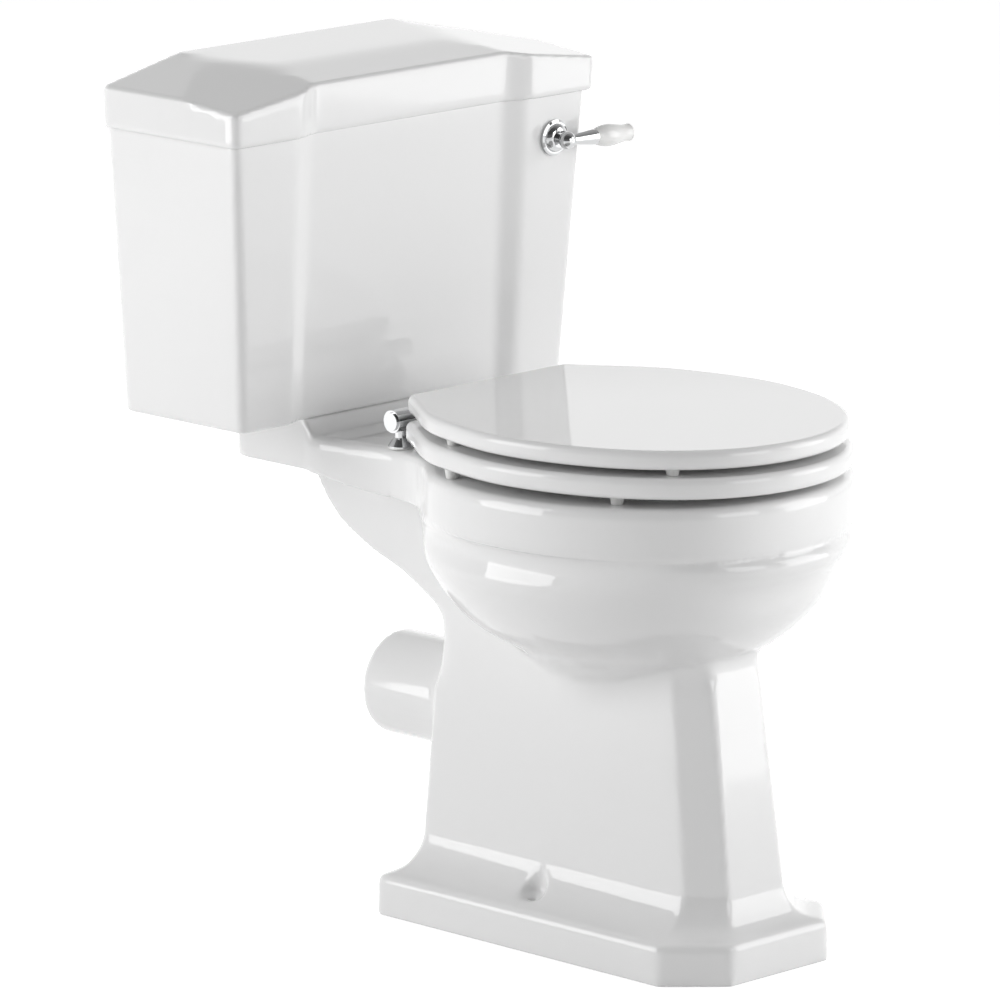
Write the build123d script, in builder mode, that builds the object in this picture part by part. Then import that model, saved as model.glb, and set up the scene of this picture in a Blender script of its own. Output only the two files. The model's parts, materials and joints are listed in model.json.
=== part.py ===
from build123d import *
import os
from math import atan2, cos, radians, sin, sqrt, tan

# Close coupled toilet, in millimetres. The origin is on the floor, midway between the
# two floor screws. +Z is up, the front looks along -Y and the wall is at +Y.

# Fits
slip = 0.05  # radial play of a shaft in its bore
clear = 0.3  # room between faces that pass or meet without fixing
loose = 1.0  # room around bolts and tails in fired china
past = 1.0  # how far a cutter runs past a face that it opens

# China
wall_y = 413.0  # the wall behind the cistern
china = 11.0  # wall of the castings

# Plinth and pedestal
plinth_half = 112.5
plinth_front = 242.0
plinth_back = 179.5
plinth_chamfer = 48.5
plinth_height = 40.0
plinth_lip = 5.0  # ledge left on top of the plinth, outside the cove
plinth_wall = 44.0  # width of the foot that stands on the floor
cove_height = 40.0
foot_half = 65.8  # pedestal above the cove
foot_front = 210.5
foot_back = 163.0
foot_chamfer = 29.3
head_half = 56.1  # pedestal where it enters the bowl
head_front = 179.5
head_back = 147.5
head_chamfer = 25.8
head_z = 310.0
corner_round = 6.0
hollow_top_z = 268.0

# Floor screws
screw_x = 80.0
screw_hole_r = 4.5
screw_pocket_r = 13.0
screw_pocket_z = 42.0

# Bowl, rim and deck
rim_z = 453.0
rim_depth = 48.0
rim_half = 190.0
rim_front = 263.0
rim_back = 159.0
rim_round = 8.0
rim_under_round = 4.0
rim_power = 2.15  # how square the ovals are: 2 is an ellipse
rim_wall = 12.0
belly_inset = 6.0
belly_drop = 140.0
belly_side_in = 165.0
belly_front_in = 170.0
belly_back_in = 150.0
belly_foot = (
    (133.0, 82.0, 150.0, 60.0),
    (146.0, 69.0, 140.0, 52.0),
    (160.0, 61.5, 133.0, 46.0),
    (172.0, 56.0, 128.0, 42.0),
)  # where the belly runs out on the pedestal: depth under the rim casting, half width, reach front and back
opening_half = 135.0
opening_front = 214.0
opening_back = 86.0
rim_lip = 10.0
channel_width = 14.0
bowl_sections = (
    (2.0, 166.0, 243.0, 118.0),
    (45.0, 158.0, 232.0, 110.0),
    (80.0, 137.0, 211.0, 86.0),
    (105.0, 108.0, 182.0, 52.0),
    (120.0, 80.0, 156.0, 16.0),
    (130.0, 58.0, 139.0, -14.0),
    (143.0, 46.0, 131.0, -34.0),
)  # inside of the bowl: depth under the rim casting, half width, reach to the front and to the back
deck_half = 113.0
deck_start_y = 140.0
deck_share = 0.4  # where the deck's flank is guided, between its start and the platform
shoulder_in = 32.0  # flank of the rim behind its widest point
shoulder_ahead = 81.0  # ahead of the deck's start
waist_out = 15.0  # flank between the shoulder and the deck
waist_ahead = 41.0
platform_half = 118.0
platform_z = 468.0
platform_front_y = 266.0
platform_back_y = 371.0
platform_slope = 12.0
platform_under_z = 418.0
platform_corner = 25.0
deck_plate = 18.0
pocket_width = 42.0
pocket_length = 76.0
neck_half = 56.5
neck_line = (
    (42.0, 0.0),
    (62.0, 28.0),
    (79.0, 50.0),
    (104.0, 68.0),
    (146.0, 88.0),
    (187.0, 108.0),
    (210.0, 124.0),
    (222.0, 140.0),
    (224.0, 152.0),
)  # neck's underside: in from the platform's back, and down from its underside
neck_hollow_y = 112.0
neck_hollow_z = 396.0

# Trap and outlet
trap_r = 36.0
trap_wall = 9.0
trap_bend = 45.0
sump_y = -85.0
sump_half = 40.0
sump_top_z = 240.0
leg_pitch = 92.0
dip_z = 104.0
crown_z = 231.0
bowl_seam_z = 236.0
crown_end_y = 75.0
outlet_z = 195.0
outlet_start_y = 145.0
outlet_end_y = 260.0
outlet_ease = 60.0
spigot_r = 50.5
collar_r = 52.0  # shoulder that the pipe's sleeve stops short of
collar_y = 161.0
spigot_bore_r = 41.0
spigot_bore = 95.0

# Cistern
cistern_rim_z = 750.0
cistern_top_half = 231.0
cistern_base_half = 212.0
cistern_top_depth = 178.0
cistern_base_depth = 162.5
cistern_wall = 10.0
cistern_floor = 12.0
panel_recess = 9.0
panel_half = 127.0
step_width = 23.0
step_round = 30.0
edge_round = 8.0
wall_hole_x = 110.0
wall_hole_z = 690.0
wall_hole_r = 4.0

# Cistern lid
lid_overhang = 5.5
lid_flare = 2.5  # how far the lid's skirt leans out towards its top
lid_lap = 7.0
lid_play = 1.0
lid_rest = 9.0  # width of the lid's ledge on the cistern's rim
lid_roof_z = 765.0
lid_vault_z = 783.0
lid_vault_half = 150.0
lid_vault_depth = 96.0
lid_top_z = 804.0
lid_side_z = 783.0
lid_corner_z = 776.0
lid_front_z = 792.0
lid_crease_z = 800.0
lid_crease_y = 308.0
lid_plateau_half = 138.0
lid_facet = 72.0

# Coupling between cistern and pan
flush_y = 317.0
tail_r = 20.0
tail_end_z = 440.0
inlet_r = 26.0
inlet_z = 432.0
flush_way_r = 17.0
flush_way_z = 426.0
flush_way_bend = 22.0
seal_r = 42.0
seal_depth = 22.0
seal_round = 4.0
backnut_r = 30.0
backnut_height = 12.0
washer_thick = 3.0
bolt_x = 82.0
bolt_r = 4.0
bolt_head_r = 8.0
bolt_head = 5.0
bolt_seal_r = 13.0
bolt_washer_r = 12.0
bolt_washer = 2.0
wing_hub_r = 8.0
wing_hub = 8.0
wing_span = 34.0
wing_height = 14.0
wing_thick = 3.0
wing_angle = 70.0
bolt_tip = 14.0

# Siphon
siphon_wall = 3.0
siphon_pitch = 105.0
siphon_top_z = 657.5
siphon_flange_r = 32.0
siphon_flange = 5.0
chamber_x = 96.0
chamber_width = 102.0
chamber_back_y = 371.5
chamber_base_z = 497.0
chamber_top_z = 566.0
chamber_round = 12.0
plate_play = 1.5
plate_thick = 3.0
plate_gap = 5.0  # how far the diaphragm lies above the chamber's mouth
rod_r = 2.5
guide_wall = 2.0
guide_top_z = 640.0
link_wire_r = 1.25
link_half = 6.25
link_bend = 3.0
lug_width = 6.0
lug_height = 14.0
lug_below_arm = 18.0

# Lever
lever_x = 188.5
lever_z = 702.0
lever_out = 19.0  # lever's centre line in front of the cistern
lever_droop = 1.7
bush_flange_r = 17.5
bush_flange = 4.0
bush_edge = 3.0  # straight part of the flange's edge
bush_bevel = 2.0
bush_dome_r = 14.0
bush_dome = 9.5
bush_bulge = 0.75
bush_sleeve_r = 8.5
bush_sleeve = 24.0
bush_nut_r = 12.0
bush_nut = 8.0
spindle_r = 5.0
ball_r = 8.5
cone_length = 37.0
cone_start_r = 5.0
cone_end_r = 7.6
cone_band = 3.0
core_r = 3.0
handle_length = 46.0
handle_r = 10.8
handle_swell = ((0.22, 0.7), (0.38, 0.0), (0.62, 1.0))  # share of the length, and depth inside handle_r
handle_end_r = 8.4
handle_waist = 0.85  # share of the length at which the handle is narrow again
cap_length = 4.0
cap_edge = 0.4  # how far the cap stands inside the handle
arm_in = 44.0  # inner arm's mid plane behind the cistern's face
arm_thick = 4.0
arm_height = 9.0
arm_boss_r = 10.0
arm_boss = 9.0
arm_swing = 12.0  # below and above level
rod_reach = 122.0
arm_past = 8.0
arm_screw_r = 2.0

# Fill valve and float
valve_x = 172.0
valve_y = 345.0
valve_tail_r = 10.4
valve_tail_z = 426.0
valve_shank_r = 10.7
valve_shank_z = 456.0
valve_pipe_r = 9.0
valve_flange_r = 15.0
valve_flange = 4.0
valve_nut_r = 15.5
valve_nut = 10.0
valve_head = 26.0
valve_head_z = 640.0
valve_head_height = 50.0
valve_head_round = 4.0
pivot_in = 8.0
pivot_z = 668.0
pivot_r = 2.0
lug_r = 7.0
lug_thick = 4.0
slot_play = 0.5
slot_height = 32.0
float_reach = 285.0
float_r = 45.0
float_wall = 2.0
float_rod_r = 3.5
float_hang = 20.0
float_boss_r = 7.0
float_socket = 10.0

# Seat
ring_under_z = 462.0
ring_thick = 20.0
seat_gap = 7.0
seat_lid_thick = 18.0
seat_half = 181.0
seat_front = 268.0
seat_mid_y = -44.0
seat_back_y = 141.0
seat_back_half = 104.0
seat_flank = ((10.0, 60.0), (22.0, 99.0), (54.0, 150.0))  # in from the widest point, and behind it
seat_power = 2.08
ring_grow = 3.0
seat_corner = 14.0
seat_round = 6.0
hole_half = 108.0
hole_front = 200.0
hole_back = 72.0
hole_round = 7.0

# Seat hinges and buffers
hinge_y = 155.0
hinge_z = 479.5
hinge_pin_r = 4.0
barrel_r = 10.8
barrel_end_x = 110.0
barrel_length = 24.0
barrel_cap = 2.0
barrel_cap_r = 8.6
pillar_r = 6.5
pillar_base_r = 12.0
pillar_edge = 1.0
pillar_flare = 9.0
pad_thick = 1.5
stud_r = 4.0
stud_pocket_r = 11.0
stud_end = 24.0  # stud below the deck plate
stud_washer_r = 9.5
stud_washer = 3.0
stud_nut_r = 8.0
stud_nut = 8.0
knuckle_r = 9.0
knuckle_width = 15.5
knuckle_gap = 0.5
knuckle_web = 8.0  # half width of an arm where it meets its knuckle
plate_length = 48.0
arm_plate = 3.2
arm_dip = 3.0  # where an arm leaves its knuckle, from the pin
lid_arm_rise = 2.0
lid_arm_top = 7.5
seat_screw_r = 2.0
seat_screw_head_r = 3.8
seat_screw_length = 14.0
seat_screw_first = 16.0
seat_screw_pitch = 22.0
buffer_r = 7.0
buffer_tip_r = 5.5
ring_buffer_spots = ((160.0, 24.0), (134.0, -163.0))
lid_buffer_spots = ((152.0, 30.0), (106.0, -206.0))

# Heights and lines that several pieces share
belly_top_z = rim_z - rim_depth
floor_z = platform_z + cistern_floor
lean = atan2(cistern_top_depth - cistern_base_depth, cistern_rim_z - platform_z)
face_y = wall_y - cistern_base_depth - (lever_z - platform_z) * tan(lean)
outward = Vector(0, -cos(lean), -sin(lean))
lever_origin = Vector(lever_x, face_y, lever_z)
arm_centre = lever_origin - outward * arm_in
lever_centre = lever_origin + outward * lever_out
lever_way = Vector(cos(radians(lever_droop)), 0, -sin(radians(lever_droop)))
rod_x = lever_x - rod_reach
rod_y = arm_centre.Y
rod_drop = rod_reach * tan(radians(arm_swing))
link_top_z = arm_centre.Z - rod_drop + arm_height / 2 / cos(radians(arm_swing)) + link_wire_r + loose
link_low_z = arm_centre.Z - rod_drop - lug_below_arm
plate_z = chamber_base_z + plate_gap
lid_z = cistern_rim_z - lid_lap
seat_lid_z = ring_under_z + ring_thick + seat_gap
pivot = Vector(valve_x - pivot_in, valve_y, pivot_z)
float_way = Vector(-cos(radians(float_hang)), 0, -sin(radians(float_hang)))
float_centre = pivot + float_way * float_reach


def finish(builder, name):
    builder.part.label = name
    export_step(builder.part, f"parts/{name}.step")


def foot_face(z, half, front, back, chamfer):
    """Section of the foot: square at the back, with its front corners cut off."""
    with BuildSketch(Plane.XY.offset(z)) as face:
        Polygon(
            (half, back),
            (-half, back),
            (-half, chamfer - front),
            (chamfer - half, -front),
            (half - chamfer, -front),
            (half, chamfer - front),
            align=None,
        )
        fillet(face.vertices(), corner_round)
    return face.sketch


def pedestal_face(z, inset=0.0):
    """Section of the tapering pedestal, drawn in by inset."""
    share = (z - plinth_height - cove_height) / (head_z - plinth_height - cove_height)
    return foot_face(
        z,
        foot_half + (head_half - foot_half) * share - inset,
        foot_front + (head_front - foot_front) * share - inset,
        foot_back + (head_back - foot_back) * share - inset,
        foot_chamfer + (head_chamfer - foot_chamfer) * share,
    )


def cove_face(share):
    """Section of the cove, from the plinth's top at 0 to the pedestal at 1."""
    drawn_in = sqrt(1 - (1 - share) ** 2)
    return foot_face(
        plinth_height + cove_height * share,
        plinth_half - plinth_lip + (foot_half - plinth_half + plinth_lip) * drawn_in,
        plinth_front - plinth_lip + (foot_front - plinth_front + plinth_lip) * drawn_in,
        plinth_back - plinth_lip + (foot_back - plinth_back + plinth_lip) * drawn_in,
        plinth_chamfer + (foot_chamfer - plinth_chamfer) * drawn_in,
    )


def oval_points(half, front, back, power, first=0.0, last=360.0, steps=32):
    """Points round an oval from angle first to last, counted from +X."""
    middle, length = (back - front) / 2, (back + front) / 2
    points = []
    for i in range(steps):
        angle = radians(first + (last - first) * i / steps)
        c, s = cos(angle), sin(angle)
        x = half * abs(c) ** (2 / power) * (1 if c >= 0 else -1)
        y = length * abs(s) ** (2 / power) * (1 if s >= 0 else -1)
        points.append((x, middle + y))
    return points


def oval_face(z, half, front, back):
    with BuildSketch(Plane.XY.offset(z)) as face:
        with BuildLine():
            Spline(*oval_points(half, front, back, rim_power), periodic=True)
        make_face()
    return face.sketch


def pipe(plane, points, bends, r):
    """A round bar along straight runs joined by arcs."""
    with BuildPart() as bar:
        with BuildLine(plane) as path:
            FilletPolyline(*points, radius=bends)
        with BuildSketch(Plane(origin=path.line @ 0, z_dir=path.line % 0)):
            Circle(r)
        sweep()
    return bar.part


def hexagon_nut(z, height, r, bore_r, x, y):
    """A hexagonal nut that stands on height z."""
    with BuildPart() as nut:
        with BuildSketch(Plane.XY.offset(z)):
            with Locations((x, y)):
                RegularPolygon(r, 6)
                Circle(bore_r, mode=Mode.SUBTRACT)
        extrude(amount=height)
    return nut.part


def ring_solid(z, height, r, bore_r, x, y):
    """A flat ring that stands on height z."""
    with BuildPart() as ring:
        with BuildSketch(Plane.XY.offset(z)):
            with Locations((x, y)):
                Circle(r)
                Circle(bore_r, mode=Mode.SUBTRACT)
        extrude(amount=height)
    return ring.part


os.makedirs("parts", exist_ok=True)

# Plinth, cove and pedestal
with BuildPart() as foot:
    extrude(foot_face(0, plinth_half, plinth_front, plinth_back, plinth_chamfer), amount=plinth_height)
    fillet(foot.edges().group_by(Axis.Z)[-1], plinth_lip)
    loft([cove_face(share) for share in (0, 0.06, 0.2, 0.4, 0.65, 1)])
    loft([pedestal_face(plinth_height + cove_height), pedestal_face(head_z)], ruled=True)

# Belly of the bowl: ovals that draw in along a quarter ellipse
with BuildPart() as belly:
    sections = []
    for share in (0, 0.25, 0.45, 0.62, 0.77, 0.89):
        drawn_in = 1 - sqrt(1 - share**2)
        sections.append(
            oval_face(
                belly_top_z - belly_drop * share,
                rim_half - belly_inset - belly_side_in * drawn_in,
                rim_front - belly_inset - belly_front_in * drawn_in,
                rim_back - belly_inset - belly_back_in * drawn_in,
            )
        )
    sections += [oval_face(belly_top_z - down, half, front, back) for down, half, front, back in belly_foot]
    loft(sections)

# Rim band and deck
with BuildPart() as rim:
    with BuildSketch(Plane.XY.offset(belly_top_z)):
        with BuildLine():
            waist = [
                (rim_half - shoulder_in, deck_start_y - shoulder_ahead),
                (deck_half + waist_out, deck_start_y - waist_ahead),
                (deck_half, deck_start_y),
                (
                    deck_half + deck_share * (platform_half - deck_half),
                    deck_start_y + deck_share * (platform_front_y - deck_start_y),
                ),
                (platform_half, platform_front_y),
            ]
            side = Spline(
                *[(-x, y) for x, y in reversed(waist)],
                *oval_points(rim_half, rim_front, rim_back, rim_power, -180, 0, 12),
                (rim_half, (rim_back - rim_front) / 2),
                *waist,
            )
            Line(side @ 0, side @ 1)
        make_face()
    extrude(amount=rim_depth)
    fillet(rim.edges().filter_by(GeomType.BSPLINE).group_by(Axis.Z)[-1], rim_round)
    fillet(rim.edges().filter_by(GeomType.BSPLINE).group_by(Axis.Z)[0], rim_under_round)
    with BuildSketch(Plane.YZ):
        Polygon(
            (rim_back, belly_top_z),
            (platform_front_y + past, platform_under_z),
            (platform_front_y + past, belly_top_z - past),
            (rim_back, belly_top_z - past),
            align=None,
        )
    extrude(amount=rim_half, both=True, mode=Mode.SUBTRACT)

# Platform that carries the cistern
with BuildPart() as platform:
    with BuildSketch(Plane.YZ):
        Polygon(
            (platform_front_y - platform_slope, platform_under_z),
            (platform_back_y, platform_under_z),
            (platform_back_y, platform_z),
            (platform_front_y, platform_z),
            (platform_front_y - platform_slope, rim_z),
            align=None,
        )
    extrude(amount=platform_half, both=True)
    fillet(platform.edges().filter_by(Axis.Z).group_by(Axis.Y)[-1], platform_corner)

# Neck under the deck
with BuildPart() as neck:
    with BuildSketch(Plane.YZ):
        with BuildLine():
            under = Spline(*[(platform_back_y - back, platform_under_z - down) for back, down in neck_line])
            Polyline(under @ 1, (0, (under @ 1).Y), (0, platform_under_z), under @ 0)
        make_face()
    extrude(amount=neck_half, both=True)

# Bowl inside, from the rim's underside to the sump
bowl_levels = [(belly_top_z - down, half, front, back) for down, half, front, back in bowl_sections]
bowl_levels.append((sump_top_z, sump_half, sump_half - sump_y, sump_half + sump_y))
trap_points = (
    (sump_y, sump_top_z + china),
    (sump_y, dip_z),
    (sump_y + leg_pitch, dip_z),
    (sump_y + leg_pitch, crown_z),
    (crown_end_y, crown_z),
    (outlet_start_y, outlet_z),
    (outlet_end_y + past, outlet_z),
)
trap_bends = (trap_bend, trap_bend, trap_bend, outlet_ease, outlet_ease)
wall_points = trap_points[:-1] + ((outlet_end_y - spigot_bore, outlet_z),)
flush_end_y = opening_back + rim_lip + channel_width / 2
flush_points = ((flush_y, platform_z), (flush_y, flush_way_z), (flush_end_y, flush_way_z))

# Dry hollow in the foot and the neck, round the walls of the sump and the trap
with BuildPart() as hollow:
    loft(
        [pedestal_face(plinth_height - 2 * china, china), pedestal_face(hollow_top_z, china)],
        ruled=True,
    )
    extrude(
        foot_face(
            0,
            plinth_half - plinth_wall,
            plinth_front - plinth_wall,
            plinth_back - plinth_wall,
            plinth_chamfer - plinth_wall / 2,
        ),
        amount=plinth_height - china,
    )
    with BuildSketch(Plane.YZ):
        inside = [
            (platform_back_y - back - china, platform_under_z - down + china)
            for back, down in neck_line[2:7]
        ]
        Polygon(
            (neck_hollow_y, hollow_top_z - 2 * china),
            (head_back - china, hollow_top_z - 2 * china),
            *reversed(inside),
            (inside[0][0], neck_hollow_z),
            (opening_back + rim_lip + channel_width + 2 * trap_wall, neck_hollow_z),
            (neck_hollow_y, head_z),
            align=None,
        )
    extrude(amount=neck_half - china, both=True)
    sump_walls = [
        [z, half + trap_wall, front + trap_wall, back + trap_wall]
        for z, half, front, back in bowl_levels[-2:]
    ]
    loft(
        [
            oval_face(hollow_top_z + china / 2, *sump_walls[0][1:]),
            oval_face(*sump_walls[0]),
            oval_face(*sump_walls[1]),
        ],
        mode=Mode.SUBTRACT,
    )
    add(pipe(Plane.YZ, wall_points, trap_bends, trap_r + trap_wall), mode=Mode.SUBTRACT)

# Wet side: bowl, channel behind the rim's lip, trap, outlet and flush inlet
with BuildPart() as waterway:
    channel_z = belly_top_z - rim_under_round
    wide = rim_lip + channel_width
    extrude(
        oval_face(channel_z, opening_half + wide, opening_front + wide, opening_back + wide),
        amount=rim_z - rim_wall - channel_z,
    )
    extrude(
        oval_face(belly_top_z, opening_half + rim_lip, opening_front + rim_lip, opening_back + rim_lip),
        amount=rim_depth,
        mode=Mode.SUBTRACT,
    )
    loft([oval_face(*level) for level in bowl_levels])
    extrude(
        oval_face(belly_top_z - rim_wall, opening_half, opening_front, opening_back),
        amount=rim_depth + 2 * rim_wall,
    )
    add(pipe(Plane.YZ, trap_points, trap_bends, trap_r))
    with BuildSketch(Plane.XZ.offset(-outlet_end_y - past)):
        with Locations((0, outlet_z)):
            Circle(spigot_bore_r)
    extrude(amount=spigot_bore + past)
    add(pipe(Plane.YZ, flush_points, (flush_way_bend,), flush_way_r))
    with BuildSketch(Plane.XY.offset(inlet_z)):
        with Locations((0, flush_y)):
            Circle(inlet_r)
    extrude(amount=platform_z - inlet_z)
    with BuildSketch(Plane.XY.offset(platform_z - seal_depth)):
        with Locations((0, flush_y)):
            Circle(seal_r + loose / 2)
    extrude(amount=seal_depth + past)

# Pockets under the platform and the deck, which hide the nuts
hinge_mid = barrel_end_x - barrel_length / 2
deck_pocket_z = rim_z - deck_plate
bolt_pocket_z = platform_z - deck_plate
with BuildPart() as pockets:
    for side in (-1, 1):
        with BuildSketch(Plane.XY.offset(belly_top_z - past)):
            with Locations((side * bolt_x, flush_y)):
                Rectangle(pocket_width, pocket_length)
        extrude(amount=bolt_pocket_z - belly_top_z + past)
        with BuildSketch(Plane.XY.offset(belly_top_z - past)):
            with Locations((side * hinge_mid, hinge_y)):
                Circle(stud_pocket_r)
        extrude(amount=deck_pocket_z - belly_top_z + past)

with BuildPart() as pan:
    add(rim.part)
    add(belly.part)
    add(foot.part)
    add(neck.part)
    add(platform.part)
    with BuildSketch(Plane.XZ.offset(-outlet_end_y)):
        with Locations((0, outlet_z)):
            Circle(spigot_r)
    extrude(amount=outlet_end_y - head_back + china)
    with BuildSketch(Plane.XZ.offset(-collar_y)):
        with Locations((0, outlet_z)):
            Circle(collar_r)
    extrude(amount=collar_y - head_back + china)
    add(hollow.part, mode=Mode.SUBTRACT)
    add(waterway.part, mode=Mode.SUBTRACT)
    add(pockets.part, mode=Mode.SUBTRACT)
    with Locations((bolt_x, flush_y, platform_z), (-bolt_x, flush_y, platform_z)):
        Hole(bolt_r + loose, depth=deck_plate + past)
    with Locations((hinge_mid, hinge_y, rim_z), (-hinge_mid, hinge_y, rim_z)):
        Hole(stud_r + loose, depth=deck_plate + past)
    with Locations((screw_x, 0, plinth_height + cove_height), (-screw_x, 0, plinth_height + cove_height)):
        CounterBoreHole(
            screw_hole_r,
            screw_pocket_r,
            plinth_height + cove_height - screw_pocket_z,
            depth=plinth_height + cove_height,
        )

# The pan is cast in three pieces that are stuck together before firing
with BuildPart() as pan_rim:
    add(pan.part)
    split(bisect_by=Plane.XY.offset(belly_top_z), keep=Keep.TOP)
finish(pan_rim, "pan_rim")

with BuildPart() as pan_bowl:
    add(pan.part)
    split(bisect_by=Plane.XY.offset(belly_top_z), keep=Keep.BOTTOM)
    split(bisect_by=Plane.XY.offset(bowl_seam_z), keep=Keep.TOP)
finish(pan_bowl, "pan_bowl")

with BuildPart() as pan_foot:
    add(pan.part)
    split(bisect_by=Plane.XY.offset(bowl_seam_z), keep=Keep.BOTTOM)
finish(pan_foot, "pan_foot")


def cistern_face(z, half, depth, grow=0.0, back_in=0.0):
    """Outline of the cistern: flat back, and a front whose middle panel is set back."""
    front_y = wall_y - depth - grow
    side_x = half + grow
    with BuildSketch(Plane.XY.offset(z)) as face:
        corners = [
            (side_x, wall_y - back_in),
            (side_x, front_y),
            (panel_half + step_width, front_y),
            (panel_half, front_y + panel_recess),
        ]
        Polygon(*corners, *[(-x, y) for x, y in reversed(corners)], align=None)
        fillet(face.vertices().filter_by(lambda v: abs(v.X) > panel_half + step_width + 1), edge_round)
        fillet(face.vertices().filter_by(lambda v: abs(v.X) < panel_half + step_width + 1), step_round)
    return face.sketch


def cistern_level(z, grow=0.0, back_in=0.0):
    """The cistern's outline at a height of its tapering body."""
    share = (z - platform_z) / (cistern_rim_z - platform_z)
    return cistern_face(
        z,
        cistern_base_half + (cistern_top_half - cistern_base_half) * share,
        cistern_base_depth + (cistern_top_depth - cistern_base_depth) * share,
        grow,
        back_in,
    )


def through(a, b, c):
    """Plane through three points, facing up."""
    normal = (Vector(b) - Vector(a)).cross(Vector(c) - Vector(a))
    return Plane(origin=a, z_dir=normal if normal.Z > 0 else -normal)


with BuildPart() as cistern:
    loft([cistern_level(z, 0, -past) for z in (platform_z, cistern_rim_z)], ruled=True)
    split(bisect_by=Plane.XZ.offset(-wall_y), keep=Keep.TOP)
    loft(
        [
            cistern_level(floor_z, -cistern_wall, cistern_wall),
            cistern_level(cistern_rim_z + past, -cistern_wall, cistern_wall),
        ],
        ruled=True,
        mode=Mode.SUBTRACT,
    )
    with Locations((0, flush_y, floor_z)):
        Hole(tail_r + loose, depth=cistern_floor)
    with Locations((bolt_x, flush_y, floor_z), (-bolt_x, flush_y, floor_z)):
        Hole(bolt_r + loose, depth=cistern_floor)
    with Locations((valve_x, valve_y, floor_z)):
        Hole(valve_shank_r + loose, depth=cistern_floor)
    with BuildSketch(Plane.XZ.offset(-wall_y)):
        with Locations((wall_hole_x, wall_hole_z), (-wall_hole_x, wall_hole_z)):
            Circle(wall_hole_r)
    extrude(amount=cistern_wall, mode=Mode.SUBTRACT)
    with BuildSketch(Plane(origin=lever_origin, x_dir=(1, 0, 0), z_dir=outward)):
        Circle(bush_sleeve_r + clear)
    extrude(amount=2 * cistern_wall, both=True, mode=Mode.SUBTRACT)
finish(cistern, "cistern")

# Cistern lid: a prism cut by the sloping planes of its top
lid_half = cistern_top_half + lid_overhang
lid_front_y = wall_y - cistern_top_depth - lid_overhang
with BuildPart() as cistern_lid:
    loft(
        [
            cistern_face(lid_z, cistern_top_half, cistern_top_depth, lid_overhang),
            cistern_face(lid_top_z, cistern_top_half, cistern_top_depth, lid_overhang + lid_flare),
        ],
        ruled=True,
    )
    split(
        bisect_by=through(
            (0, lid_crease_y, lid_crease_z),
            (1, lid_crease_y, lid_crease_z),
            (0, lid_front_y + panel_recess, lid_front_z),
        ),
        keep=Keep.BOTTOM,
    )
    split(
        bisect_by=through(
            (0, lid_crease_y, lid_crease_z), (1, lid_crease_y, lid_crease_z), (0, wall_y, lid_top_z)
        ),
        keep=Keep.BOTTOM,
    )
    for side in (-1, 1):
        split(
            bisect_by=through(
                (side * lid_half, wall_y, lid_side_z),
                (side * lid_half, lid_front_y, lid_side_z),
                (side * lid_plateau_half, wall_y, lid_top_z),
            ),
            keep=Keep.BOTTOM,
        )
        split(
            bisect_by=through(
                (side * lid_half, lid_front_y + lid_facet, lid_side_z),
                (side * lid_half, lid_front_y, lid_corner_z),
                (side * panel_half, lid_front_y + panel_recess, lid_front_z),
            ),
            keep=Keep.BOTTOM,
        )
    extrude(
        cistern_face(lid_z, cistern_top_half, cistern_top_depth, lid_play, -edge_round),
        amount=lid_lap,
        mode=Mode.SUBTRACT,
    )
    extrude(
        cistern_face(cistern_rim_z, cistern_top_half, cistern_top_depth, -lid_rest, lid_rest),
        amount=lid_roof_z - cistern_rim_z,
        mode=Mode.SUBTRACT,
    )
    with BuildSketch(Plane.XY.offset(cistern_rim_z)):
        with Locations((0, wall_y - 2 * lid_rest)):
            Rectangle(2 * lid_vault_half, lid_vault_depth, align=(Align.CENTER, Align.MAX))
    extrude(amount=lid_vault_z - cistern_rim_z, mode=Mode.SUBTRACT)
finish(cistern_lid, "cistern_lid")

# Coupling between cistern and pan
with BuildPart() as doughnut_seal:
    with BuildSketch(Plane.XZ.offset(-flush_y)):
        with Locations(((seal_r + backnut_r) / 2 + clear / 2, platform_z - seal_depth / 2)):
            RectangleRounded(seal_r - backnut_r - clear, seal_depth - clear, seal_round)
    revolve(axis=Axis((0, flush_y, 0), (0, 0, 1)))
finish(doughnut_seal, "doughnut_seal")

with BuildPart() as siphon_backnut:
    add(hexagon_nut(platform_z - backnut_height, backnut_height, backnut_r, tail_r + slip, 0, flush_y))
finish(siphon_backnut, "siphon_backnut")

with BuildPart() as siphon_washer:
    add(ring_solid(floor_z, washer_thick, siphon_flange_r, tail_r + clear, 0, flush_y))
finish(siphon_washer, "siphon_washer")

with BuildPart() as coupling_bolts:
    for side in (-1, 1):
        with Locations((side * bolt_x, flush_y, floor_z + washer_thick)):
            Cylinder(bolt_head_r, bolt_head, align=(Align.CENTER, Align.CENTER, Align.MIN))
            Cylinder(
                bolt_r,
                floor_z + washer_thick - bolt_pocket_z + bolt_washer + wing_hub + bolt_tip,
                align=(Align.CENTER, Align.CENTER, Align.MAX),
            )
finish(coupling_bolts, "coupling_bolts")

with BuildPart() as bolt_seals:
    for side in (-1, 1):
        add(ring_solid(floor_z, washer_thick, bolt_seal_r, bolt_r + clear, side * bolt_x, flush_y))
finish(bolt_seals, "bolt_seals")

with BuildPart() as bolt_washers:
    for side in (-1, 1):
        add(
            ring_solid(
                bolt_pocket_z - bolt_washer,
                bolt_washer,
                bolt_washer_r,
                bolt_r + clear,
                side * bolt_x,
                flush_y,
            )
        )
finish(bolt_washers, "bolt_washers")

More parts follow.
